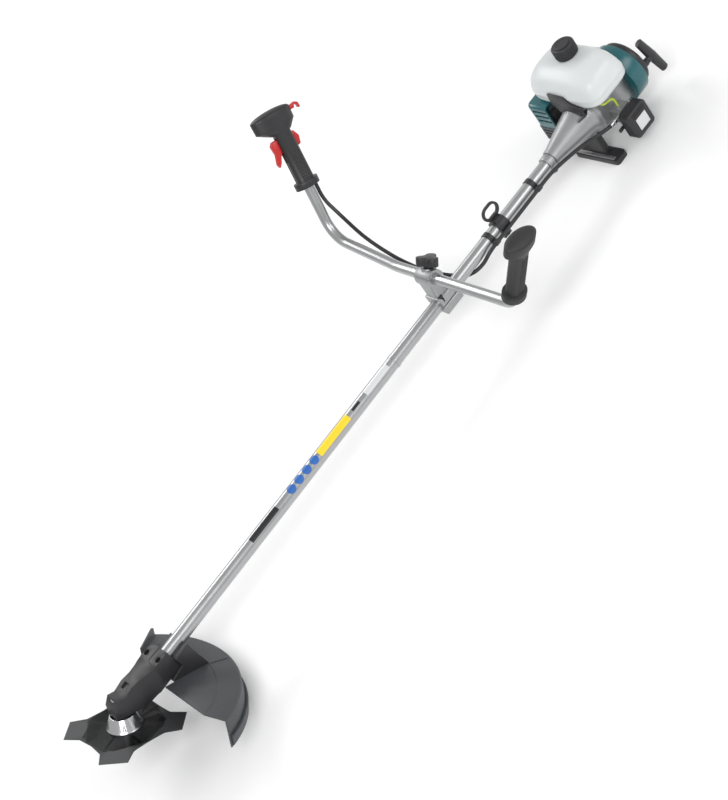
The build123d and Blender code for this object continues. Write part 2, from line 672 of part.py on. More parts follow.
# ================================================================ hanger and cable clips
HANGER_X = -1048.0
HANGER_HALF = 13.0
EYE_Z = 40.0
with BuildPart() as hanger_clamp:
    disc(yz(HANGER_X - HANGER_HALF), PIPE_R + 5, 2 * HANGER_HALF)
    slab(level(HANGER_X, 0, 10), 2 * HANGER_HALF - 6, 22, 14)
    slab(level(HANGER_X, 0, -28), 2 * HANGER_HALF - 6, 14, 14)
    with BuildSketch(Plane(origin=(HANGER_X, 2.4, 0), x_dir=(1, 0, 0), z_dir=(0, -1, 0))) as eye:
        with Locations((0, EYE_Z)):
            SlotOverall(44, 34, rotation=0)
        with Locations((0, EYE_Z - 14)):
            Rectangle(18, 14)
        with Locations((0, EYE_Z + 1)):
            SlotOverall(33, 22, mode=Mode.SUBTRACT)
    extrude(eye.sketch, amount=4.8)
    disc(yz(HANGER_X - 40), PIPE_R, 80, mode=Mode.SUBTRACT)
    slab(level(HANGER_X, 0, -40), 40, 2, 30, mode=Mode.SUBTRACT)
write(hanger_clamp, "hanger_clamp")

CABLE_R = 4.0
CLIP_XS = (-1010.0, -1152.0)
CABLE_SIDE_Y = PIPE_R + 5 + CABLE_R + 0.6
CABLE_SIDE_Z = -2.0
with BuildPart() as cable_clips:
    for x in CLIP_XS:
        disc(yz(x - 6), PIPE_R + 1.4, 12)
        disc(across(x - 6, CABLE_SIDE_Y, CABLE_SIDE_Z), CABLE_R + 1.6, 12)
        slab(across(x - 6, CABLE_SIDE_Y - 6, CABLE_SIDE_Z), 8, 5, 12)
    disc(yz(-1300), PIPE_R, 400, mode=Mode.SUBTRACT)
    disc(across(-1300, CABLE_SIDE_Y, CABLE_SIDE_Z), CABLE_R, 400, mode=Mode.SUBTRACT)
write(cable_clips, "cable_clips")

# throttle cable: out of the right grip, behind the bar, round under the pipe and along its left side
CABLE_EXIT = RIGHT_TOP.from_local_coords(Vector(-17, 0, -GRIP_DOWN))
CABLE_ROUTE = [
    CABLE_EXIT,
    RIGHT_TOP.from_local_coords(Vector(-17, 0, -GRIP_DOWN - 40)),
    (-908, -285, 108),
    (-897, -235, 78),
    (-889, -180, 62),
    (-884, -122, 48),
    (-888, -72, 28),
    (-906, -30, 2),
    (-932, -4, -22),
    (-960, 12, -19),
    (-988, CABLE_SIDE_Y, CABLE_SIDE_Z),
    (-1190, CABLE_SIDE_Y, CABLE_SIDE_Z),
    (-1225, 28, -5),
    (-1275, 39.5, -9),
    (-1318, 54, -17),
    (-1343, 58, -22),
    (-1358, 58, -22),
]


def bend_radii(route):
    """Largest arc that each corner's two runs allow."""
    spots = [Vector(*p) if isinstance(p, tuple) else p for p in route]
    radii = []
    for before, here, after in zip(spots, spots[1:], spots[2:]):
        turn = radians((here - before).get_angle(after - here))
        shorter = min((here - before).length, (after - here).length)
        radii.append(0.45 * shorter / tan(turn / 2))
    return radii


CABLE_BENDS = bend_radii(CABLE_ROUTE)
print("cable bend radii", [round(r) for r in CABLE_BENDS])
with BuildPart() as throttle_cable:
    with BuildLine() as cable_line:
        FilletPolyline(*CABLE_ROUTE, radius=CABLE_BENDS)
    cable_start = Plane(origin=CABLE_EXIT, z_dir=CABLE_ROUTE[1] - CABLE_EXIT)
    with BuildSketch(cable_start) as cable_ring:
        Circle(CABLE_R)
    sweep(cable_ring.sketch, path=cable_line.wires()[0])
print("cable volume", throttle_cable.part.volume, "expected", pi * CABLE_R**2 * cable_line.wires()[0].length)
write(throttle_cable, "throttle_cable")

# ================================================================ clutch case and clutch
COLLAR_L = 17.0
COLLAR_R = 17.5
JOURNAL_R = 7.5
MAIN_BEARING_R = 17.5
MAIN_BEARING_W = 11.0
with BuildPart() as pipe_collar:
    disc(yz(COLLAR_X - COLLAR_L), COLLAR_R, COLLAR_L)
    slab(level(COLLAR_X - COLLAR_L / 2, 0, -25), 12, 14, 16)
    disc(yz(COLLAR_X - 30), PIPE_R, 60, mode=Mode.SUBTRACT)
    slab(level(COLLAR_X - COLLAR_L / 2, 0, -30), 20, 2, 20, mode=Mode.SUBTRACT)
write(pipe_collar, "pipe_collar")

NECK_R = 20.0
NECK_X = COLLAR_X - COLLAR_L - 0.4
DRUM_R = 29.0
DRUM_T = 2.5
DRUM_BEARING_R = 17.5
SHOE_X = CASE_FLANGE_X + 6.0


def case_cone(mode=Mode.ADD):
    """Outside of the clutch case, from the pipe neck to the engine flange."""
    with BuildSketch(XZ_MID) as cone:
        with BuildLine():
            Polyline(
                (NECK_X, 0),
                (NECK_X, NECK_R),
                (NECK_X - 10, NECK_R + 0.8),
                (CASE_FLANGE_X + FLANGE_T + 8, FLANGE_R - 6),
                (CASE_FLANGE_X + FLANGE_T, FLANGE_R),
                (CASE_FLANGE_X, FLANGE_R),
                (CASE_FLANGE_X, 0),
                close=True,
            )
        make_face()
    revolve(cone.sketch, axis=SHAFT_AXIS, mode=mode)


with BuildPart() as clutch_case:
    case_cone()
    disc(yz(PIPE_REAR_X), PIPE_R, 80, mode=Mode.SUBTRACT)
    disc(yz(CASE_FLANGE_X), 12, 130, mode=Mode.SUBTRACT)
    disc(yz(DRUM_FRONT_X + 1), DRUM_BEARING_R, 11, mode=Mode.SUBTRACT)
    disc(yz(CASE_FLANGE_X - 1), DRUM_R + 2, DRUM_FRONT_X + 2 - CASE_FLANGE_X, mode=Mode.SUBTRACT)
    for i in range(4):
        angle = radians(45 + 90 * i)
        spot = across(CASE_FLANGE_X + FLANGE_T - 1, 40.5 * cos(angle), 40.5 * sin(angle))
        slab(spot, 11, 11, 30, corner=2, mode=Mode.SUBTRACT)
write(clutch_case, "clutch_case")

with BuildPart() as clutch_drum:
    disc(yz(SHOE_X - 2), DRUM_R, DRUM_FRONT_X - SHOE_X + 2)
    disc(yz(SHOE_X - 3), DRUM_R - DRUM_T, DRUM_FRONT_X - SHOE_X, mode=Mode.SUBTRACT)
    disc(yz(DRUM_FRONT_X), JOURNAL_R, 34)
    disc(yz(DRUM_FRONT_X + 8), SHAFT_R, 40, mode=Mode.SUBTRACT)
write(clutch_drum, "clutch_drum")

SHOE_R = DRUM_R - DRUM_T - 1.2
CRANK_NOSE_R = 6.0
with BuildPart() as clutch_shoes:
    disc(yz(SHOE_X + 2), SHOE_R, 20)
    disc(yz(SHOE_X + 1), CRANK_NOSE_R, 22, mode=Mode.SUBTRACT)
    slab(yz(SHOE_X + 1), 80, 4, 22, mode=Mode.SUBTRACT)
write(clutch_shoes, "clutch_shoes")

# ================================================================ engine core
CASE_HALF_H = 41.0
CASE_SPLIT_X = CRANK_X
CASE_REAR_END = CASE_FLANGE_X - 98.0
CRANK_ROOM_R = 29.0
WEB_R = 26.0
WEB_T = 9.0
WEB_GAP = 13.0


def crankcase_core():
    """Outside and inside of the crankcase before it is parted at the crank."""
    slab(yz(CASE_REAR_END), 78, 2 * CASE_HALF_H, CASE_FLANGE_X - CASE_REAR_END, corner=14)
    disc(yz(CASE_FLANGE_X - 8), FLANGE_R, 8)
    disc(yz(CRANK_X - WEB_GAP / 2 - WEB_T - 1), CRANK_ROOM_R, WEB_GAP + 2 * WEB_T + 2, mode=Mode.SUBTRACT)
    disc(yz(CRANK_X + WEB_GAP / 2 + WEB_T + 0.9), MAIN_BEARING_R, MAIN_BEARING_W, mode=Mode.SUBTRACT)
    disc(yz(CRANK_X - WEB_GAP / 2 - WEB_T - 0.9 - MAIN_BEARING_W), MAIN_BEARING_R, MAIN_BEARING_W,
         mode=Mode.SUBTRACT)
    disc(yz(CASE_REAR_END - 1), JOURNAL_R + 1.5, 100, mode=Mode.SUBTRACT)
    disc(side(CRANK_X, -60, 0), BORE_R + 2.5, 60, mode=Mode.SUBTRACT)


with BuildPart() as crankcase_front:
    crankcase_core()
    slab(level(CASE_SPLIT_X - 100.05, 0, -100), 200, 200, 200, mode=Mode.SUBTRACT)
write(crankcase_front, "crankcase_front")

with BuildPart() as crankcase_rear:
    crankcase_core()
    slab(level(CASE_SPLIT_X + 99.95, 0, -100), 200, 200, 200, mode=Mode.SUBTRACT)
write(crankcase_rear, "crankcase_rear")

FLYWHEEL_X = CASE_REAR_END - 6.0
FLYWHEEL_T = 26.0
with BuildPart() as crankshaft:
    disc(yz(CRANK_X + WEB_GAP / 2), WEB_R, WEB_T)
    disc(yz(CRANK_X + WEB_GAP / 2 + WEB_T), JOURNAL_R, 34)
    disc(yz(CRANK_X + WEB_GAP / 2 + WEB_T + 30), CRANK_NOSE_R, SHOE_X + 24 - (CRANK_X + WEB_GAP / 2 + WEB_T + 30))
    disc(yz(CRANK_X - WEB_GAP / 2 - WEB_T), WEB_R, WEB_T)
    disc(yz(FLYWHEEL_X + 2), JOURNAL_R, CRANK_X - WEB_GAP / 2 - WEB_T - FLYWHEEL_X - 2)
    disc(yz(FLYWHEEL_X - FLYWHEEL_T), 5, FLYWHEEL_T + 2)
write(crankshaft, "crankshaft")

PIN_R = 6.0
ROD_L = 54.0
PISTON_Y = -CRANK_THROW - ROD_L
PIN_CLEAR = 0.4
with BuildPart() as connecting_rod:
    disc(across(CRANK_X - 4, -CRANK_THROW, 0), PIN_R + 4, 8)
    disc(across(CRANK_X - 4, PISTON_Y, 0), 7.5, 8)
    slab(across(CRANK_X - 2.5, -CRANK_THROW - ROD_L / 2, 0), ROD_L - 10, 8, 5)
    disc(across(CRANK_X - WEB_GAP / 2 + PIN_CLEAR, -CRANK_THROW, 0), PIN_R, WEB_GAP - 2 * PIN_CLEAR)
    disc(across(CRANK_X - BORE_R + 2, PISTON_Y, 0), 4.5, 2 * BORE_R - 4)
write(connecting_rod, "connecting_rod")

PISTON_CROWN_Y = PISTON_Y - 15
with BuildPart() as piston:
    disc(side(CRANK_X, PISTON_CROWN_Y, 0), BORE_R - RUN, 30)
    disc(side(CRANK_X, PISTON_CROWN_Y + 4, 0), BORE_R - 3, 30, mode=Mode.SUBTRACT)
    for x in (CRANK_X - BORE_R + 2.3, CRANK_X + BORE_R - 10.3):
        disc(across(x, PISTON_Y, 0), 7, 8)
    disc(across(CRANK_X - 30, PISTON_Y, 0), 4.5, 60, mode=Mode.SUBTRACT)
write(piston, "piston")

CYL_TOP_Y = PISTON_CROWN_Y - 12.0
FIN_COUNT = 7
PORT_REACH = 37.0
with BuildPart() as cylinder:
    disc(side(CRANK_X, CYL_TOP_Y, 0), BORE_R + 5, -39.5 - CYL_TOP_Y)
    disc(side(CRANK_X, -44, 0), BORE_R + 8, 4.5)
    disc(side(CRANK_X, -42, 0), BORE_R + 2.3, 18)
    for i in range(FIN_COUNT):
        slab(side(CRANK_X, CYL_TOP_Y + 5.5 * i, 0), 66, 62, 2.2, corner=12)
    slab(across(CRANK_X, -74, -18), 24, 20, PORT_REACH)
    disc(side(CRANK_X, PISTON_CROWN_Y - 2, 0), BORE_R, 90, mode=Mode.SUBTRACT)
    disc(side(CRANK_X, CYL_TOP_Y - 5, 0), 5, 20, mode=Mode.SUBTRACT)
write(cylinder, "cylinder")

with BuildPart() as spark_plug:
    disc(side(CRANK_X, CYL_TOP_Y, 0), 5, 9)
    with BuildSketch(side(CRANK_X, CYL_TOP_Y - 5, 0)) as hexagon:
        RegularPolygon(8.5, 6)
    extrude(hexagon.sketch, amount=5)
    disc(side(CRANK_X, CYL_TOP_Y - 13, 0), 4.5, 8)
write(spark_plug, "spark_plug")

# flywheel with fan blades
with BuildPart() as flywheel:
    disc(yz(FLYWHEEL_X - 8), 48, 8)
    disc(yz(FLYWHEEL_X - 20), 14, 14)
    for i in range(14):
        angle = 360 * i / 14
        blade_plane = Plane(origin=(FLYWHEEL_X - 22, 0, 0), x_dir=(0, cos(radians(angle)), sin(radians(angle))),
                            z_dir=(1, 0, 0))
        slab(blade_plane * Pos(33, 0, 0), 28, 2.4, 15)
    disc(yz(FLYWHEEL_X - 30), 5, 40, mode=Mode.SUBTRACT)
write(flywheel, "flywheel")

# ================================================================ housings and covers
HOUSING_REAR_X = FLYWHEEL_X - FLYWHEEL_T - 4.0
HOUSING_R = FAN_R + 6.0
with BuildPart() as fan_housing:
    disc(yz(HOUSING_REAR_X), HOUSING_R, CASE_REAR_END - HOUSING_REAR_X)
    slab(level((HOUSING_REAR_X + CASE_REAR_END) / 2, -30, -50), CASE_REAR_END - HOUSING_REAR_X, 70, 100)
    disc(yz(HOUSING_REAR_X + 3), FAN_R - 3, CASE_REAR_END - HOUSING_REAR_X - 6, mode=Mode.SUBTRACT)
    disc(yz(CASE_REAR_END - 4), 30, 8, mode=Mode.SUBTRACT)
    disc(yz(HOUSING_REAR_X - 1), 40, 20, mode=Mode.SUBTRACT)
write(fan_housing, "fan_housing")

COVER_FRONT_X = -1305.0
COVER_L = COVER_FRONT_X - CASE_REAR_END
COVER_MID_X = (COVER_FRONT_X + CASE_REAR_END) / 2
COVER_LOW = -16.0
COVER_TOP = 45.0
COVER_OUT_Y = -118.0
COVER_WALL = 4.0
with BuildPart() as cylinder_cover:
    slab(level(COVER_MID_X, COVER_OUT_Y + 37, COVER_LOW), COVER_L, 74, COVER_TOP - COVER_LOW, corner=14)
    fillet(cylinder_cover.edges().group_by(Axis.Z)[-1], 7)
    slab(
        level(COVER_MID_X, COVER_OUT_Y + 37 + COVER_WALL, COVER_LOW - 5),
        COVER_L - 2 * COVER_WALL,
        74,
        COVER_TOP - COVER_LOW + 5 - COVER_WALL,
        corner=10,
        mode=Mode.SUBTRACT,
    )
    slab(level(COVER_MID_X, -50, COVER_LOW - 5), COVER_L + 10, 20, 100, mode=Mode.SUBTRACT)
    for i in range(3):
        slab(level(COVER_FRONT_X, -84, 2 + 13 * i), 30, 40, 5, mode=Mode.SUBTRACT)
        slab(level(COVER_MID_X, COVER_OUT_Y, 2 + 13 * i), 70, 20, 5, mode=Mode.SUBTRACT)
write(cylinder_cover, "cylinder_cover")

MUFFLER_REAR_X = CRANK_X + PORT_REACH
MUFFLER_L = 42.0
with BuildPart() as muffler:
    slab(level(MUFFLER_REAR_X + MUFFLER_L / 2, -84, -46), MUFFLER_L, 48, 40, corner=8)
    disc(side(MUFFLER_REAR_X + MUFFLER_L / 2, -112, -34), 6, 10)
write(muffler, "muffler")

GUARD_BOX_LOW = -52.0
with BuildPart() as exhaust_guard:
    slab(level(-1336, -84, GUARD_BOX_LOW), 64, 70, COVER_LOW - GUARD_BOX_LOW, corner=12)
    slab(level(-1336, -84, GUARD_BOX_LOW + 3), 58, 62, 40, corner=9, mode=Mode.SUBTRACT)
    slab(level(-1368, -84, GUARD_BOX_LOW - 8), 30, 80, 60, mode=Mode.SUBTRACT)
    slab(level(-1336, -46, GUARD_BOX_LOW - 8), 90, 20, 60, mode=Mode.SUBTRACT)
    for i in range(3):
        slab(level(-1318, -84, GUARD_BOX_LOW + 8 + 9 * i), 60, 44, 4, mode=Mode.SUBTRACT)
write(exhaust_guard, "exhaust_guard")

STARTER_X = HOUSING_REAR_X
STARTER_DEPTH = 18.0
PULL_Y = 44.0
PULL_Z = -4.0
with BuildPart() as starter_case:
    disc(yz(STARTER_X - STARTER_DEPTH), 54, STARTER_DEPTH)
    fillet(starter_case.edges().group_by(Axis.X)[0], 8)
    disc(yz(STARTER_X - STARTER_DEPTH + 3), 50, STARTER_DEPTH, mode=Mode.SUBTRACT)
    for i in range(24):
        angle = radians(15 * i)
        if not (-0.55 < angle < 0.55 or angle > 2 * pi - 0.55):
            rib = Plane(origin=(STARTER_X - STARTER_DEPTH - 1, 0, 0), x_dir=(0, cos(angle), sin(angle)),
                        z_dir=(1, 0, 0))
            slab(rib * Pos(38, 0, 0), 15, 4, 6, mode=Mode.SUBTRACT)
    disc(across(STARTER_X - STARTER_DEPTH - 6, PULL_Y, PULL_Z), 8, 10)
    disc(across(STARTER_X - STARTER_DEPTH - 10, PULL_Y, PULL_Z), 2.6, 40, mode=Mode.SUBTRACT)
    disc(yz(STARTER_X - STARTER_DEPTH + 2.9), 6, 14)
write(starter_case, "starter_case")

REEL_R = 25.0
with BuildPart() as starter_reel:
    disc(yz(STARTER_X - 14), REEL_R + 3, 2)
    disc(yz(STARTER_X - 12), REEL_R, 4)
    disc(yz(STARTER_X - 8), REEL_R + 3, 2)
    disc(yz(STARTER_X - 20), 6 + RUN, 30, mode=Mode.SUBTRACT)
write(starter_reel, "starter_reel")

HANDLE_X = STARTER_X - STARTER_DEPTH - 6.6
with BuildPart() as starter_handle:
    disc(across(HANDLE_X - 14, PULL_Y, PULL_Z), 7, 13.6)
    t_bar = Plane(origin=(HANDLE_X - 18, PULL_Y, PULL_Z), x_dir=(0, 1, 0), z_dir=(-sin(0.25), 0, -cos(0.25)))
    with BuildSketch(t_bar.offset(-48)) as end_a:
        Ellipse(7, 9)
    with BuildSketch(t_bar) as middle:
        Ellipse(9, 11)
    with BuildSketch(t_bar.offset(48)) as end_b:
        Ellipse(7, 9)
    loft([end_a.sketch, middle.sketch])
    loft([middle.sketch, end_b.sketch])
    disc(across(HANDLE_X - 24, PULL_Y, PULL_Z), 2.4, 40, mode=Mode.SUBTRACT)
write(starter_handle, "starter_handle")

with BuildPart() as starter_rope:
    disc(across(HANDLE_X - 23, PULL_Y, PULL_Z), 1.7, 34)
write(starter_rope, "starter_rope")

# ---------------------------------------------------------------- intake side
CARB_X = -1386.0
CARB_Z = -26.0
CARB_Y = 39.0
with BuildPart() as carburettor:
    slab(side(CARB_X, CARB_Y, CARB_Z), 34, 32, 28, corner=3)
    disc(level(CARB_X, 58, CARB_Z - 24), 11, 8)
    disc(level(CARB_X + 4, 58, CARB_Z + 15), 6, 8)
    disc(across(CARB_X + 16, 58, CARB_Z + 4), 5, 12)
    disc(side(CARB_X, CARB_Y - 5, CARB_Z), 8, 40, mode=Mode.SUBTRACT)
write(carburettor, "carburettor")

CHOKE_X = CARB_X + 11.0
CHOKE_Z = CARB_Z - 12.0
with BuildPart() as choke_lever:
    slab(side(CHOKE_X + 13, 70.4, CHOKE_Z), 34, 8, 2.6, corner=3)
    disc(side(CHOKE_X, CARB_Y + 28.4, CHOKE_Z), 2.6, 5)
write(choke_lever, "choke_lever")

AC_Y = 74.0
with BuildPart() as air_cleaner_base:
    slab(side(CARB_X, AC_Y, CARB_Z - 12), 58, 62, 6, corner=9)
    disc(side(CARB_X, CARB_Y + 28, CARB_Z), 10, 8)
    disc(side(CARB_X, AC_Y - 10, CARB_Z), 8, 20, mode=Mode.SUBTRACT)
write(air_cleaner_base, "air_cleaner_base")

with BuildPart() as air_cleaner_cover:
    slab(side(CARB_X, AC_Y + 6, CARB_Z - 12), 58, 62, 22, corner=9)
    fillet(air_cleaner_cover.edges().group_by(Axis.Y)[-1], 6)
    slab(side(CARB_X, AC_Y + 6, CARB_Z - 12), 52, 56, 18, corner=7, mode=Mode.SUBTRACT)
write(air_cleaner_cover, "air_cleaner_cover")

# ---------------------------------------------------------------- fuel system
TANK_L = 120.0
TANK_W = 194.0
TANK_H = 68.0
TANK_X = CASE_REAR_END + 0.7 + TANK_L / 2
TANK_Y = -11.0
TANK_Z = 48.5
TANK_WALL = 2.5
TANK_CORNER = 26.0
CAP_X = -1396.0
CAP_Y = -20.0
CAP_R = 24.0
with BuildPart() as fuel_tank:
    slab(level(TANK_X, TANK_Y, TANK_Z), TANK_L, TANK_W, TANK_H, corner=TANK_CORNER)
    fillet(fuel_tank.edges().group_by(Axis.Z)[-1], 22)
    fillet(fuel_tank.edges().group_by(Axis.Z)[0], 5)
    slab(
        level(TANK_X, TANK_Y, TANK_Z + TANK_WALL),
        TANK_L - 2 * TANK_WALL,
        TANK_W - 2 * TANK_WALL,
        TANK_H - 24,
        corner=TANK_CORNER - TANK_WALL,
        mode=Mode.SUBTRACT,
    )
    disc(level(CAP_X, CAP_Y, TANK_Z + TANK_H - 1), CAP_R - 5, 5)
    disc(level(CAP_X, CAP_Y, TANK_Z + 20), CAP_R - 8, 90, mode=Mode.SUBTRACT)
write(fuel_tank, "fuel_tank")

CAP_Z = TANK_Z + TANK_H + 0.4
with BuildPart() as fuel_cap:
    disc(level(CAP_X, CAP_Y, CAP_Z), CAP_R, 26)
    fillet(fuel_cap.edges().group_by(Axis.Z)[-1], 3)
    disc(level(CAP_X, CAP_Y, CAP_Z - 1), CAP_R - 4.6, 6, mode=Mode.SUBTRACT)
write(fuel_cap, "fuel_cap")

with BuildPart() as tank_bracket:
    polygon(
        across(TANK_X + TANK_L / 2, TANK_Y + 8, 0),
        [(-24, 30), (34, 30), (50, 48), (46, 56), (20, 64), (8, 79), (-34, 82), (-38, 56)],
        4.0,
    )
    case_cone(mode=Mode.SUBTRACT)
write(tank_bracket, "tank_bracket")

HOSE_R = 2.5
HOSE_ROUTE = [
    (-1352, 56, TANK_Z),
    (-1352, 56, 26),
    (CARB_X + 4, 58, 20),
    (CARB_X + 4, 58, CARB_Z + 23),
]
with BuildPart() as fuel_hose:
    with BuildLine() as hose_line:
        FilletPolyline(*HOSE_ROUTE, radius=bend_radii(HOSE_ROUTE))
    hose_start = Plane(origin=HOSE_ROUTE[0], z_dir=Vector(*HOSE_ROUTE[1]) - Vector(*HOSE_ROUTE[0]))
    with BuildSketch(hose_start) as hose_ring:
        Circle(HOSE_R)
    sweep(hose_ring.sketch, path=hose_line.wires()[0])
write(fuel_hose, "fuel_hose")

# ================================================================ fasteners and large bearings


def socket_screw(plane, head_r, head_l, shank_r=0.0, shank_l=0.0):
    """Cap screw with a hexagon socket, seated on a plane and driven from its upper side."""
    disc(plane, head_r, head_l)
    if shank_r > 0:
        disc(plane.offset(-shank_l), shank_r, shank_l)
    with BuildSketch(plane.offset(head_l / 2)) as socket:
        RegularPolygon(head_r * 0.58, 6)
    extrude(socket.sketch, amount=head_l, mode=Mode.SUBTRACT)


with BuildPart() as socket_screws:
    for y in (-BOLT_Y, BOLT_Y):
        socket_screw(level(BOLT_X, y, 12), BOLT_HEAD_R, 5, BOLT_SHANK_R, 20)
    for x in (-15, 15):
        for y in (-18.5, 18.5):
            socket_screw(level(BAR_X + x, y, CLAMP_SEAT), 4.4, 5)
    for i in range(4):
        angle = radians(45 + 90 * i)
        spot = across(CASE_FLANGE_X + FLANGE_T - 1, 40.5 * cos(angle), 40.5 * sin(angle))
        socket_screw(spot, 4.4, 5)
    socket_screw(side(HANGER_X, 7, -22), 4.2, 3.4)
    socket_screw(side(COLLAR_X - COLLAR_L / 2, 7, -20.5), 3.6, 3.2)
write(socket_screws, "socket_screws")

with BuildPart() as ball_bearings:
    disc(ARBOR.offset(UPPER_BEARING), BEARING_OUT_R, BEARING_W)
    disc(ARBOR.offset(LOWER_BEARING), BEARING_OUT_R, BEARING_W)
    disc(ARBOR.offset(-60), ARBOR_R + RUN, 120, mode=Mode.SUBTRACT)
    disc(yz(PINION_BEARING_X), BEARING_OUT_R, 2 * BEARING_W)
    disc(yz(PINION_REAR_X), PINION_HUB_R + RUN, PINION_BEARING_X + 2 * BEARING_W - PINION_REAR_X, mode=Mode.SUBTRACT)
    front = CRANK_X + WEB_GAP / 2 + WEB_T + 0.9
    rear = CRANK_X - WEB_GAP / 2 - WEB_T - 0.9 - MAIN_BEARING_W
    for x in (front, rear, DRUM_FRONT_X + 1):
        disc(yz(x), MAIN_BEARING_R, MAIN_BEARING_W)
    disc(yz(CRANK_X - 100), JOURNAL_R + RUN, 300, mode=Mode.SUBTRACT)
write(ball_bearings, "ball_bearings")

# ================================================================ engine stand
STAND_T = 12.0
WEB_X = FOOT_X - 4
STAND_WEB_L = 16.0
with BuildPart() as engine_stand:
    slab(FLOOR_PLANE, FOOT_L, 2 * FOOT_HALF_W, STAND_T, corner=8)
    slab(level(WEB_X, 0, -FOOT_DROP + 6), STAND_WEB_L, 44, 64, corner=4)
    case_cone(mode=Mode.SUBTRACT)
write(engine_stand, "engine_stand")

STRAP_L = 8.0
with BuildPart() as stand_strap:
    slab(FLOOR_PLANE.offset(STAND_T) * Pos(FOOT_L / 2 - STRAP_L / 2 - 3, 0, 0), STRAP_L, 2 * FOOT_HALF_W - 20, 1.6)
write(stand_strap, "stand_strap")
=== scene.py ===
"""Looks for the brush cutter: materials, softened copies of the solids, moulded details, light and camera."""

import json
import math

import bmesh
import bpy
from mathutils import Matrix, Vector


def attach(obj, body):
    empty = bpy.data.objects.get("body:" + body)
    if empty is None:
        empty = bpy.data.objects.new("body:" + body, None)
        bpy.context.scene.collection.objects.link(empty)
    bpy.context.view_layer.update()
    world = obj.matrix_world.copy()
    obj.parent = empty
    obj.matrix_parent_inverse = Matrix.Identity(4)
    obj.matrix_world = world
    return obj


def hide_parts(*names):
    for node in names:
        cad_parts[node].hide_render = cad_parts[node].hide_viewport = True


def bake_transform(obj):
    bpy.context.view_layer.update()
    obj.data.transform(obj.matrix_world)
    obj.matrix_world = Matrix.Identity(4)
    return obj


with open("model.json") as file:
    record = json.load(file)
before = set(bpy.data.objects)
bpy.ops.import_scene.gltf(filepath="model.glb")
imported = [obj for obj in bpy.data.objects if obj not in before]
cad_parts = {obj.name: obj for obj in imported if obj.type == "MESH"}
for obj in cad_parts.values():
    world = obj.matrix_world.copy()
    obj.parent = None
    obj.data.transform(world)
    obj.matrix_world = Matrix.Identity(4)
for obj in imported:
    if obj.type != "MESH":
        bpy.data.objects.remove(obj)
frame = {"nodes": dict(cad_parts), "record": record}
NODES = frame["nodes"]
RECORD = frame["record"]
BODY_OF = {n: b for b, names in RECORD["behaviour"]["bodies"].items() for n in names}
SLOT_OF = {s["node"]: s["material_slot"] for s in RECORD["subparts"]}
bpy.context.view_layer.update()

# ---------------------------------------------------------------- the shaft frame, in metres
# X forward along the pipe from the gear case's rear, Y to the operator's left, Z up from the shaft
MM = 0.001
FOOT = Vector((-1.325, 0, -0.1))
HEAD_X = 0.14
TILT = math.radians(30)
SKIRT_DROP = 0.041
GUARD_R = 0.226
LOW_X = HEAD_X + SKIRT_DROP * math.sin(TILT) - GUARD_R * math.cos(TILT)
LOW_Z = -SKIRT_DROP * math.cos(TILT) - GUARD_R * math.sin(TILT)
PITCH = math.atan2(-LOW_Z + FOOT.z, LOW_X - FOOT.x)
SHAFT = Matrix.Rotation(-PITCH, 4, "Y") @ Matrix.Translation(-FOOT)
ARBOR = SHAFT @ Matrix.Translation((HEAD_X, 0, 0)) @ Matrix.Rotation(-TILT, 4, "Y")
LEAN = math.radians(20)
BAR_X, BAR_RISE = -862, 61


def at(x, y, z):
    """A place given in shaft-frame millimetres, in the row frame."""
    return SHAFT @ (Vector((x, y, z)) * MM)


def frame_at(x, y, z, x_dir, z_dir):
    """Local frame in the shaft frame: millimetre origin, x and z directions."""
    zd = Vector(z_dir).normalized()
    xd = (Vector(x_dir) - zd * Vector(x_dir).dot(zd)).normalized()
    yd = zd.cross(xd)
    m = Matrix((xd, yd, zd)).transposed().to_4x4()
    return SHAFT @ Matrix.Translation(Vector((x, y, z)) * MM) @ m


def bar_point(y, rise):
    return Vector((BAR_X - rise * math.sin(LEAN), y, BAR_RISE + rise * math.cos(LEAN)))


def bar_end(top, bottom):
    high, low = bar_point(*top), bar_point(*bottom)
    return frame_at(*high, (1, 0, 0), high - low)


RIGHT_GRIP = bar_end((-362, 262), (-296, 24))
LEFT_GRIP = bar_end((308, 130), (243, 0))


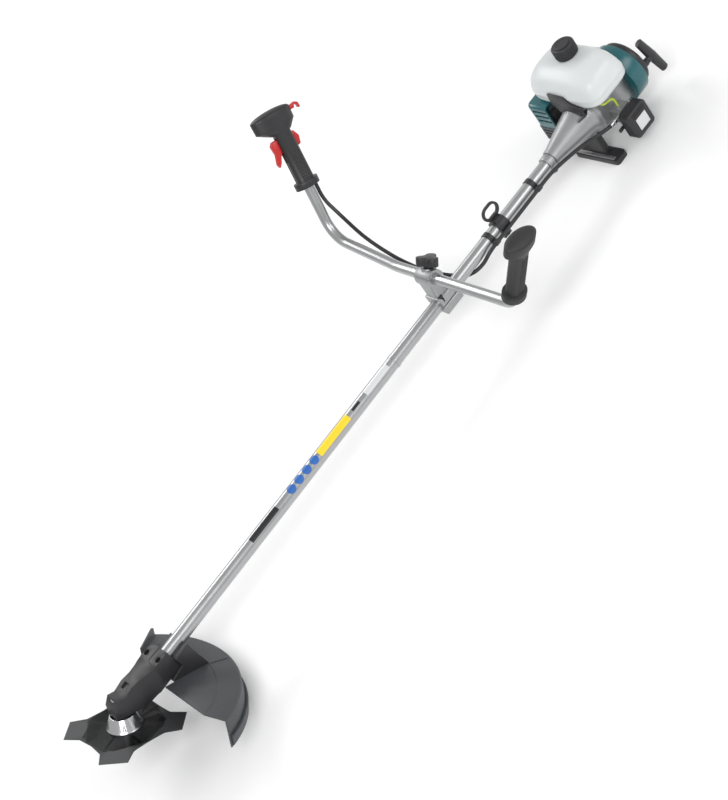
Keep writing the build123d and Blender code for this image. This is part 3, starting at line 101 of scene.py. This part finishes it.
# ---------------------------------------------------------------- materials
def material(name, color, rough, metal=0.0, bump=0.0, grain=900.0, vary=0.08, wear=0.0, coat=0.0, extra=None):
    """Procedural finish: colour variation, roughness variation and a fine bump, all in object space."""
    m = bpy.data.materials.new(name)
    m.use_nodes = True
    t = m.node_tree
    b = t.nodes["Principled BSDF"]
    b.inputs["Metallic"].default_value = metal
    b.inputs["Coat Weight"].default_value = coat
    b.inputs["Coat Roughness"].default_value = 0.2
    pos = t.nodes.new("ShaderNodeTexCoord")
    big = t.nodes.new("ShaderNodeTexNoise")
    big.inputs["Scale"].default_value = 26.0
    big.inputs["Detail"].default_value = 5.0
    t.links.new(pos.outputs["Object"], big.inputs["Vector"])
    shade = t.nodes.new("ShaderNodeMix")
    shade.data_type = "RGBA"
    low = [c * (1 - vary) for c in color]
    high = [min(1, c * (1 + vary) + 0.004) for c in color]
    shade.inputs[6].default_value = (*low, 1)
    shade.inputs[7].default_value = (*high, 1)
    t.links.new(big.outputs["Fac"], shade.inputs[0])
    out = shade.outputs[2]
    if wear > 0:
        geo = t.nodes.new("ShaderNodeNewGeometry")
        ramp = t.nodes.new("ShaderNodeMapRange")
        ramp.inputs["From Min"].default_value = 0.53
        ramp.inputs["From Max"].default_value = 0.6
        ramp.inputs["To Max"].default_value = wear
        t.links.new(geo.outputs["Pointiness"], ramp.inputs["Value"])
        edge = t.nodes.new("ShaderNodeMix")
        edge.data_type = "RGBA"
        edge.inputs[7].default_value = (*[min(1, c * 1.6 + 0.1) for c in color], 1)
        t.links.new(ramp.outputs[0], edge.inputs[0])
        t.links.new(out, edge.inputs[6])
        out = edge.outputs[2]
    t.links.new(out, b.inputs["Base Color"])
    spread = t.nodes.new("ShaderNodeMapRange")
    spread.inputs["To Min"].default_value = max(0.04, rough - 0.07)
    spread.inputs["To Max"].default_value = min(1, rough + 0.09)
    t.links.new(big.outputs["Fac"], spread.inputs["Value"])
    t.links.new(spread.outputs[0], b.inputs["Roughness"])
    if bump > 0:
        fine = t.nodes.new("ShaderNodeTexNoise")
        fine.inputs["Scale"].default_value = grain
        fine.inputs["Detail"].default_value = 3.0
        t.links.new(pos.outputs["Object"], fine.inputs["Vector"])
        lift = t.nodes.new("ShaderNodeBump")
        lift.inputs["Strength"].default_value = bump
        lift.inputs["Distance"].default_value = 0.0004
        t.links.new(fine.outputs["Fac"], lift.inputs["Height"])
        t.links.new(lift.outputs["Normal"], b.inputs["Normal"])
    if extra:
        extra(b)
    return m


def see_through(b):
    b.inputs["Subsurface Weight"].default_value = 0.35
    b.inputs["Subsurface Radius"].default_value = (0.02, 0.02, 0.018)
    b.inputs["Transmission Weight"].default_value = 0.12


MATS = {
    "silver_tube": material("silver_tube", (0.42, 0.425, 0.43), 0.3, 0.9, 0.05, 1500, 0.03),
    "steel": material("steel", (0.55, 0.55, 0.56), 0.28, 1.0, 0.08, 1200, 0.06),
    "black_screw": material("black_screw", (0.03, 0.03, 0.033), 0.35, 0.4, 0.05),
    "bright_steel": material("bright_steel", (0.55, 0.55, 0.56), 0.2, 1.0, 0.03, 800, 0.04),
    "blade_black": material("blade_black", (0.022, 0.023, 0.025), 0.5, 0.25, 0.2, 1100, 0.2, wear=0.35),
    "cast_alloy": material("cast_alloy", (0.36, 0.365, 0.37), 0.42, 0.85, 0.35, 1300, 0.08),
    "black_casting": material("black_casting", (0.018, 0.018, 0.02), 0.42, 0.1, 0.35, 1200, 0.15, wear=0.12),
    "guard_plastic": material("guard_plastic", (0.045, 0.049, 0.054), 0.5, 0.0, 0.3, 1500, 0.08),
    "black_plastic": material("black_plastic", (0.016, 0.016, 0.018), 0.4, 0.0, 0.35, 1400, 0.1),
    "grip_rubber": material("grip_rubber", (0.018, 0.018, 0.019), 0.55, 0.0, 0.5, 1600, 0.1),
    "teal_plastic": material("teal_plastic", (0.004, 0.095, 0.11), 0.27, 0.0, 0.06, 700, 0.06, coat=0.25),
    "grey_plastic": material("grey_plastic", (0.05, 0.053, 0.058), 0.48, 0.0, 0.3, 1300, 0.08),
    "tank_plastic": material(
        "tank_plastic", (0.7, 0.73, 0.73), 0.34, 0.0, 0.08, 400, 0.02, extra=see_through
    ),
    "red_plastic": material("red_plastic", (0.5, 0.012, 0.012), 0.32, 0.0, 0.1, 900, 0.06),
    "cable_black": material("cable_black", (0.012, 0.012, 0.013), 0.38, 0.0, 0.15, 1500, 0.1),
    "hose_green": material("hose_green", (0.45, 0.55, 0.05), 0.22, 0.0, 0.0, 900, 0.05),
    "rope_white": material("rope_white", (0.7, 0.7, 0.66), 0.8, 0.0, 0.8, 1800, 0.12),
    "bush_rubber": material("bush_rubber", (0.02, 0.02, 0.02), 0.6, 0.0, 0.2),
    "ceramic": material("ceramic", (0.78, 0.78, 0.75), 0.2, 0.0, 0.02),
    "label_white": material("label_white", (0.62, 0.63, 0.64), 0.4, 0.0, 0.03, 900, 0.02),
    "label_blue": material("label_blue", (0.02, 0.12, 0.42), 0.35, 0.0, 0.03, 900, 0.04),
    "label_yellow": material("label_yellow", (0.85, 0.62, 0.02), 0.35, 0.0, 0.03, 900, 0.04),
    "label_dark": material("label_dark", (0.012, 0.012, 0.014), 0.3, 0.0, 0.02, 900, 0.05),
}


def place(obj, body, slot=None, mat=None):
    """Gives a new piece its finish, picked by its record slot or material name, and its body."""
    obj.data.materials.clear()
    obj.data.materials.append(MATS[mat or slot])
    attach(obj, body)
    return obj


def mesh_object(name, verts, faces, smooth=True, sharp=35):
    me = bpy.data.meshes.new(name)
    me.from_pydata([tuple(v) for v in verts], [], faces)
    me.validate()
    bm = bmesh.new()
    bm.from_mesh(me)
    bmesh.ops.recalc_face_normals(bm, faces=bm.faces)
    bm.to_mesh(me)
    bm.free()
    o = bpy.data.objects.new(name, me)
    bpy.context.scene.collection.objects.link(o)
    if smooth:
        me.shade_smooth()
        me.set_sharp_from_angle(angle=math.radians(sharp))
    return o


def bake(obj):
    """Turns an object's modifiers into plain mesh."""
    dg = bpy.context.evaluated_depsgraph_get()
    me = bpy.data.meshes.new_from_object(obj.evaluated_get(dg))
    obj.modifiers.clear()
    obj.data = me
    return obj


def soften(node, width, segments=2, angle=32):
    """Copy of a CAD node with its sharp edges rounded, shown in its place."""
    me = NODES[node].data.copy()
    bm = bmesh.new()
    bm.from_mesh(me)
    bmesh.ops.remove_doubles(bm, verts=bm.verts, dist=2e-6)
    bmesh.ops.dissolve_limit(bm, angle_limit=math.radians(0.6), verts=bm.verts, edges=bm.edges)
    bm.to_mesh(me)
    bm.free()
    o = bpy.data.objects.new(node + "_looks", me)
    bpy.context.scene.collection.objects.link(o)
    mod = o.modifiers.new("edges", "BEVEL")
    mod.width = width * MM
    mod.segments = segments
    mod.limit_method = "ANGLE"
    mod.angle_limit = math.radians(angle)
    mod.use_clamp_overlap = True
    bake(o)
    o.data.shade_smooth()
    o.data.set_sharp_from_angle(angle=math.radians(40))
    place(o, BODY_OF[node], SLOT_OF[node])
    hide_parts(node)
    return o


# every node gets its finish; most outer ones are shown as softened copies
for node, obj in NODES.items():
    obj.data.materials.clear()
    obj.data.materials.append(MATS[SLOT_OF[node]])
    obj.data.shade_smooth()
    obj.data.set_sharp_from_angle(angle=math.radians(30))

EDGES = {
    "gear_case": 2.0, "blade_receiver": 0.5, "blade_nut": 0.6, "clamp_washer": 0.5, "guard_plate": 1.1,
    "guard_extension": 0.7, "guard_bracket": 1.2, "pipe_clamp_upper": 1.2, "pipe_clamp_lower": 1.2,
    "bar_clamp_cap": 1.2, "clamp_knob": 1.8, "throttle_grip_left": 1.6, "throttle_grip_right": 1.6,
    "throttle_trigger": 1.2, "lock_lever": 1.0, "stop_switch": 1.2, "left_grip": 2.0, "hanger_clamp": 0.9,
    "cable_clips": 0.5, "pipe_collar": 0.8, "clutch_case": 1.0, "crankcase_front": 1.2, "crankcase_rear": 1.2,
    "cylinder": 0.4, "fan_housing": 1.8, "cylinder_cover": 1.2, "muffler": 1.2, "exhaust_guard": 1.0,
    "starter_case": 0.9, "starter_handle": 1.2, "carburettor": 0.8, "choke_lever": 0.5,
    "air_cleaner_base": 0.8,
    "air_cleaner_cover": 1.0, "fuel_cap": 0.8, "tank_bracket": 1.0, "socket_screws": 0.4, "engine_stand": 1.6,
    "stand_strap": 0.4,
}
for node, width in EDGES.items():
    soften(node, width)


# ---------------------------------------------------------------- small builders
def box_piece(name, m, size, body, slot, mat=None, round_by=0.6):
    """Rounded block: m is its centre frame, size in millimetres."""
    bm = bmesh.new()
    bmesh.ops.create_cube(bm, size=1.0)
    bmesh.ops.scale(bm, verts=bm.verts, vec=Vector(size) * MM)
    bmesh.ops.bevel(bm, geom=bm.edges[:], offset=round_by * MM, segments=3, affect="EDGES", profile=0.5)
    bm.transform(m)
    me = bpy.data.meshes.new(name)
    bm.to_mesh(me)
    bm.free()
    o = bpy.data.objects.new(name, me)
    bpy.context.scene.collection.objects.link(o)
    me.shade_smooth()
    me.set_sharp_from_angle(angle=math.radians(50))
    return place(o, body, slot, mat)


def turned(name, m, profile, body, slot, mat=None, steps=72):
    """Solid of revolution about m's z axis. profile holds (radius, height) in millimetres."""
    verts, faces = [], []
    rows = len(profile)
    for i in range(steps):
        a = 2 * math.pi * i / steps
        for r, h in profile:
            verts.append(m @ (Vector((r * math.cos(a), r * math.sin(a), h)) * MM))
    for i in range(steps):
        j = (i + 1) % steps
        for k in range(rows - 1):
            faces.append((i * rows + k, j * rows + k, j * rows + k + 1, i * rows + k + 1))
    faces.append([i * rows for i in range(steps)][::-1])
    faces.append([i * rows + rows - 1 for i in range(steps)])
    return place(mesh_object(name, verts, faces), body, slot, mat)


def wrap_mark(name, x0, x1, half_deg, centre_deg, mat, radius=14.06, outline=None):
    """Thin printed mark wrapped on the pipe between two places along it; outline trims it to a disc."""
    verts, faces = [], []
    across, along = 16, 16
    for i in range(along + 1):
        u = i / along
        for j in range(across + 1):
            v = 2 * j / across - 1
            x = x0 + (x1 - x0) * u
            reach = half_deg
            if outline == "disc":
                s = 2 * u - 1
                reach = half_deg * math.sqrt(max(0.0, 1 - s * s))
            a = math.radians(centre_deg + reach * v)
            verts.append(at(x, radius * math.cos(a), radius * math.sin(a)))
    for i in range(along):
        for j in range(across):
            k = i * (across + 1) + j
            faces.append((k, k + 1, k + across + 2, k + across + 1))
    return place(mesh_object(name, verts, faces), "machine", None, mat)


# ---------------------------------------------------------------- fuel tank: blow-moulded saddle
TANK_MID = (-1379.3, -11.0)
TANK_HALF = (59.6, 96.6)


def tank_ring(z, half_x, half_y, power, shift_x=0.0, steps=96, skew=0.0):
    ring = []
    for i in range(steps):
        a = 2 * math.pi * i / steps
        c, s = math.cos(a), math.sin(a)
        px = math.copysign(abs(c) ** (2 / power), c) * half_x
        py = math.copysign(abs(s) ** (2 / power), s) * half_y
        ring.append(at(TANK_MID[0] + shift_x + px, TANK_MID[1] + py, z + skew * px))
    return ring


TANK_ROWS = [
    (48.6, 0.86, 0.93, 4.5), (49.6, 0.94, 0.965, 4.6), (52.5, 0.985, 0.99, 4.8), (58, 1.0, 1.0, 5.0),
    (67, 1.0, 1.0, 5.0), (68, 1.008, 1.006, 5.0), (70.4, 1.008, 1.006, 5.0), (71.4, 0.998, 0.998, 5.0),
    (81, 0.985, 0.985, 4.6), (90.4, 0.955, 0.96, 4.2), (98.5, 0.9, 0.92, 3.8), (105.4, 0.82, 0.86, 3.4),
    (110.4, 0.72, 0.77, 3.1), (113.7, 0.6, 0.64, 2.8), (115.5, 0.46, 0.46, 2.4), (116.2, 0.3, 0.3, 2.0),
]
verts, faces = [], []
for z, sx, sy, power in TANK_ROWS:
    top = max(0.0, (z - 90) / 27.0)
    verts += tank_ring(z, TANK_HALF[0] * sx, TANK_HALF[1] * sy, power, shift_x=-6 * top)
n = 96
for k in range(len(TANK_ROWS) - 1):
    for i in range(n):
        j = (i + 1) % n
        faces.append((k * n + i, k * n + j, (k + 1) * n + j, (k + 1) * n + i))
faces.append(list(range(n))[::-1])
faces.append([(len(TANK_ROWS) - 1) * n + i for i in range(n)])
tank = place(mesh_object("tank_shell", verts, faces, sharp=50), "machine", "tank_plastic")
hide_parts("fuel_tank")
CAP = frame_at(-1396, -20, 116.9, (1, 0, 0), (0, 0, 1))
turned("tank_neck", CAP, [(22, -6), (22.4, -2.4), (21, -1.4), (19, -1), (19, 3.4), (17, 3.6), (16, 3.4)],
       "machine", "tank_plastic")
for i in range(30):
    a = 2 * math.pi * i / 30
    rib = CAP @ Matrix.Rotation(a, 4, "Z") @ Matrix.Translation((0.0242, 0, 0.0135))
    box_piece(f"cap_rib_{i}", rib, (1.6, 2.6, 20), "cap", "black_plastic", round_by=0.5)
turned("cap_top", CAP, [(16, 25.9), (17, 27.2), (14.5, 27.6), (13.5, 26.6), (0.5, 26.4)], "cap",
       "black_plastic")

# ---------------------------------------------------------------- printed marks, all plain
MARK_SIDE = 62.0
wrap_mark("mark_dark", -330, -250, 26, MARK_SIDE, "label_dark")
for i in range(4):
    start = -365 - 23.5 * i
    wrap_mark(f"mark_disc_{i}", start, start - 20, 40, MARK_SIDE, "label_blue", outline="disc")
wrap_mark("mark_yellow", -552, -460, 36, MARK_SIDE, "label_yellow")
wrap_mark("mark_rule", -588, -566, 12, MARK_SIDE, "label_dark")
wrap_mark("mark_white", -678, -608, 26, MARK_SIDE, "label_white")

# ---------------------------------------------------------------- air cleaner: blank label and ribs
BOX = frame_at(-1386, 102.3, -38, (-1, 0, 0), (0, 1, 0))
box_piece("cleaner_label", BOX @ Matrix.Translation((0, -0.003, 0.0002)), (30, 28, 0.8), "machine", None,
          "label_white", 0.3)
for i in range(4):
    middle = BOX @ Matrix.Translation((0, (17 + 3.6 * i) * MM, 0))
    box_piece(f"cleaner_rib_{i}", middle, (38, 1.6, 1.6), "machine",
              "black_plastic", round_by=0.6)

# ---------------------------------------------------------------- grips: raised bands and domed heads
for i in range(9):
    ring = RIGHT_GRIP @ Matrix.Translation((0, 0, (-110 + 6 * i) * MM))
    for side_sign in (-1, 1):
        box_piece(f"grip_pad_{i}_{side_sign}", ring @ Matrix.Translation((-2 * MM, 16.1 * side_sign * MM, 0)),
                  (20, 1.6, 2.4), "machine", "black_plastic", round_by=0.7)
for i in range(15):
    ring = LEFT_GRIP @ Matrix.Translation((0, 0, (-100 + 6 * i) * MM))
    for side_sign in (-1, 1):
        box_piece(f"plain_pad_{i}_{side_sign}", ring @ Matrix.Translation((0, 14.6 * side_sign * MM, 0)),
                  (18, 1.6, 2.4), "machine", "grip_rubber", round_by=0.7)


def dome(name, m, half_x, half_y, base, height, body, slot):
    """Low oval dome on the end of a grip."""
    rows, steps = 9, 64
    vs, fs = [], []
    for k in range(rows):
        t = k / (rows - 1) * math.pi / 2 * 0.985
        for i in range(steps):
            a = 2 * math.pi * i / steps
            vs.append(m @ (Vector((half_x * math.cos(t) * math.cos(a), half_y * math.cos(t) * math.sin(a),
                                   base + height * math.sin(t))) * MM))
    for k in range(rows - 1):
        for i in range(steps):
            j = (i + 1) % steps
            fs.append((k * steps + i, k * steps + j, (k + 1) * steps + j, (k + 1) * steps + i))
    fs.append([(rows - 1) * steps + i for i in range(steps)])
    return place(mesh_object(name, vs, fs, sharp=60), body, slot)


dome("throttle_head_dome", RIGHT_GRIP @ Matrix.Translation((6 * MM, 0, 0)), 46, 21, 35.5, 9, "machine",
     "black_plastic")
dome("plain_head_dome", LEFT_GRIP @ Matrix.Translation((2 * MM, 0, 0)), 39, 19, 27.5, 8, "machine",
     "grip_rubber")

# ---------------------------------------------------------------- cable end, adjuster and pipe ring
ADJUSTER = frame_at(-1358, 58, -22, (0, 1, 0), (1, 0, 0))
turned("cable_adjuster", ADJUSTER,
       [(4.2, 0), (6.4, 0.2), (6.6, 1), (6.6, 5), (5.2, 5.6), (5.2, 12), (5.8, 12.4), (5.8, 15), (4.1, 15.6)],
       "machine", "steel")
PIPE_RING = frame_at(-697, 0, 0, (0, 1, 0), (1, 0, 0))
turned("pipe_ring", PIPE_RING, [(14.03, -4), (15, -3.6), (15, 3.6), (14.03, 4)],
       "machine", "silver_tube")

# ---------------------------------------------------------------- guard: moulded creases
def band(name, a0, a1, section, steps):
    """Ridge of closed section (radius, height) swept about the arbor between two angles in degrees."""
    vs, fs = [], []
    count = len(section)
    for i in range(steps + 1):
        a = math.radians(a0 + (a1 - a0) * i / steps)
        for r, up in section:
            vs.append(ARBOR @ (Vector((r * math.cos(a), r * math.sin(a), up)) * MM))
    for i in range(steps):
        for k in range(count):
            nxt = (k + 1) % count
            fs.append((i * count + k, i * count + nxt, (i + 1) * count + nxt, (i + 1) * count + k))
    fs.append(tuple(range(count))[::-1])
    fs.append(tuple(steps * count + k for k in range(count)))
    return place(mesh_object(name, vs, fs), "machine", "guard_plastic")


band("guard_crease", 119, 221, [(180, 23.7), (180.8, 24.9), (182.4, 24.9), (183.4, 23.4)], 60)
band("guard_seam", 169.6, 170.4, [(182, 23.8), (182.5, 25.2), (219, 20.6), (219.5, 18.5)], 2)

# blade: ground bevels along the cutting edges, shown in place of the flat blank
BLADE_TURN = 48.0
TIP_HALF, ROOT_HALF, BODY_R, TIP_R = 27.0, 33.0, 85.0, 115.0
outline = []
root_x = math.sqrt(BODY_R**2 - ROOT_HALF**2) - 4
tip_x = math.sqrt(TIP_R**2 - TIP_HALF**2)
for i in range(4):
    turn = math.radians(BLADE_TURN + 90 * i)
    low_root, high_root = (root_x + 6, -ROOT_HALF + 1.2), (root_x + 6, ROOT_HALF - 1.2)
    for px, py in (low_root, (tip_x, -TIP_HALF), (tip_x, TIP_HALF), high_root):
        outline.append((px * math.cos(turn) - py * math.sin(turn), px * math.sin(turn) + py * math.cos(turn)))
    edge_a = math.atan2(outline[-1][1], outline[-1][0])
    nxt = math.radians(BLADE_TURN + 90 * (i + 1)) - math.atan2(ROOT_HALF - 1.2, root_x + 6)
    while nxt < edge_a:
        nxt += 2 * math.pi
    for s in range(1, 8):
        a = edge_a + (nxt - edge_a) * s / 8
        notch = 84.4 - 7 * math.sin(math.pi * s / 8)
        outline.append((notch * math.cos(a), notch * math.sin(a)))
count = len(outline)
layers = [(-31.05, 0.985), (-31.6, 1.0), (-32.2, 1.0), (-32.75, 0.985)]
bore = [(10.0 * px / math.hypot(px, py), 10.0 * py / math.hypot(px, py)) for px, py in outline]
vs = [ARBOR @ (Vector((px * k, py * k, up)) * MM) for up, k in layers for px, py in outline]
vs += [ARBOR @ (Vector((px, py, up)) * MM) for up in (-32.75, -31.05) for px, py in bore]
fs = []
loops = len(layers) + 2
for k in range(loops):
    nxt = (k + 1) % loops
    for i in range(count):
        j = (i + 1) % count
        fs.append((k * count + i, k * count + j, nxt * count + j, nxt * count + i))
blade = place(mesh_object("blade_ground", vs, fs, sharp=25), "cutter", "blade_black")
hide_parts("cutter_blade")

# ---------------------------------------------------------------- starter rope: stretches from case to handle
ROPE = frame_at(-1491, 44, -4, (0, 1, 0), (-1, 0, 0))
vs, fs = [], []
rings, steps = 34, 10
for k in range(rings):
    for i in range(steps):
        a = 2 * math.pi * i / steps + k * 0.5
        r = 1.6 + 0.12 * math.cos(2 * (a - k * 0.9))
        vs.append(ROPE @ (Vector((r * math.cos(a), r * math.sin(a), k)) * MM))
for k in range(rings - 1):
    for i in range(steps):
        j = (i + 1) % steps
        fs.append((k * steps + i, k * steps + j, (k + 1) * steps + j, (k + 1) * steps + i))
fs.append(list(range(steps))[::-1])
fs.append([(rings - 1) * steps + i for i in range(steps)])
rope = mesh_object("rope_strand", vs, fs)
rope.data.materials.append(MATS["rope_white"])
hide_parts("starter_rope")
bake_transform(rope)

# ---------------------------------------------------------------- stage, light and camera
bpy.ops.mesh.primitive_plane_add(size=30, location=(0.6, 0, 0))
floor = bpy.context.object
floor.name = "floor"
paper = bpy.data.materials.new("paper")
paper.use_nodes = True
paper.node_tree.nodes["Principled BSDF"].inputs["Base Color"].default_value = (0.93, 0.93, 0.93, 1)
paper.node_tree.nodes["Principled BSDF"].inputs["Roughness"].default_value = 0.9
floor.data.materials.append(paper)

world = bpy.data.worlds.new("studio")
bpy.context.scene.world = world
world.use_nodes = True
world.node_tree.nodes["Background"].inputs["Color"].default_value = (1, 1, 1, 1)
world.node_tree.nodes["Background"].inputs["Strength"].default_value = 0.62


def softbox(name, place_at, aim, size, power):
    data = bpy.data.lights.new(name, "AREA")
    data.shape = "RECTANGLE"
    data.size, data.size_y = size
    data.energy = power
    o = bpy.data.objects.new(name, data)
    o.location = place_at
    o.rotation_mode = "QUATERNION"
    o.rotation_quaternion = (Vector(aim) - Vector(place_at)).to_track_quat("-Z", "Y")
    bpy.context.scene.collection.objects.link(o)


softbox("key", (2.2, 2.4, 3.2), (0.6, 0, 0.1), (2.0, 1.4), 75)
softbox("fill", (-1.6, 2.8, 2.2), (0.3, 0, 0.1), (2.4, 1.6), 38)
softbox("rim", (0.4, -2.8, 2.4), (0.5, 0, 0.1), (2.6, 0.8), 45)

# camera: seen from the operator's left, above and ahead, rolled so that the pipe runs up to the right
EYE = at(151.99, 2577.14, 2113.26)
RIGHTWARD = Vector((-0.59859, 0.60502, -0.52501))
DOWNWARD = Vector((0.77029, 0.25483, -0.58456))
ONWARD = RIGHTWARD.cross(DOWNWARD)
turn = SHAFT.to_3x3() @ Matrix((RIGHTWARD, -DOWNWARD, -ONWARD)).transposed()
cam_data = bpy.data.cameras.new("camera")
cam_data.sensor_fit = "VERTICAL"
cam_data.sensor_height = 24.0
cam_data.sensor_width = 24.0
cam_data.lens = 53.44
cam_data.clip_start, cam_data.clip_end = 0.05, 50
cam = bpy.data.objects.new("camera", cam_data)
bpy.context.scene.collection.objects.link(cam)
cam.rotation_mode = "QUATERNION"
cam.location = EYE
cam.rotation_quaternion = turn.normalized().to_quaternion()
bpy.context.scene.camera = cam
bpy.context.scene.view_settings.view_transform = "Standard"
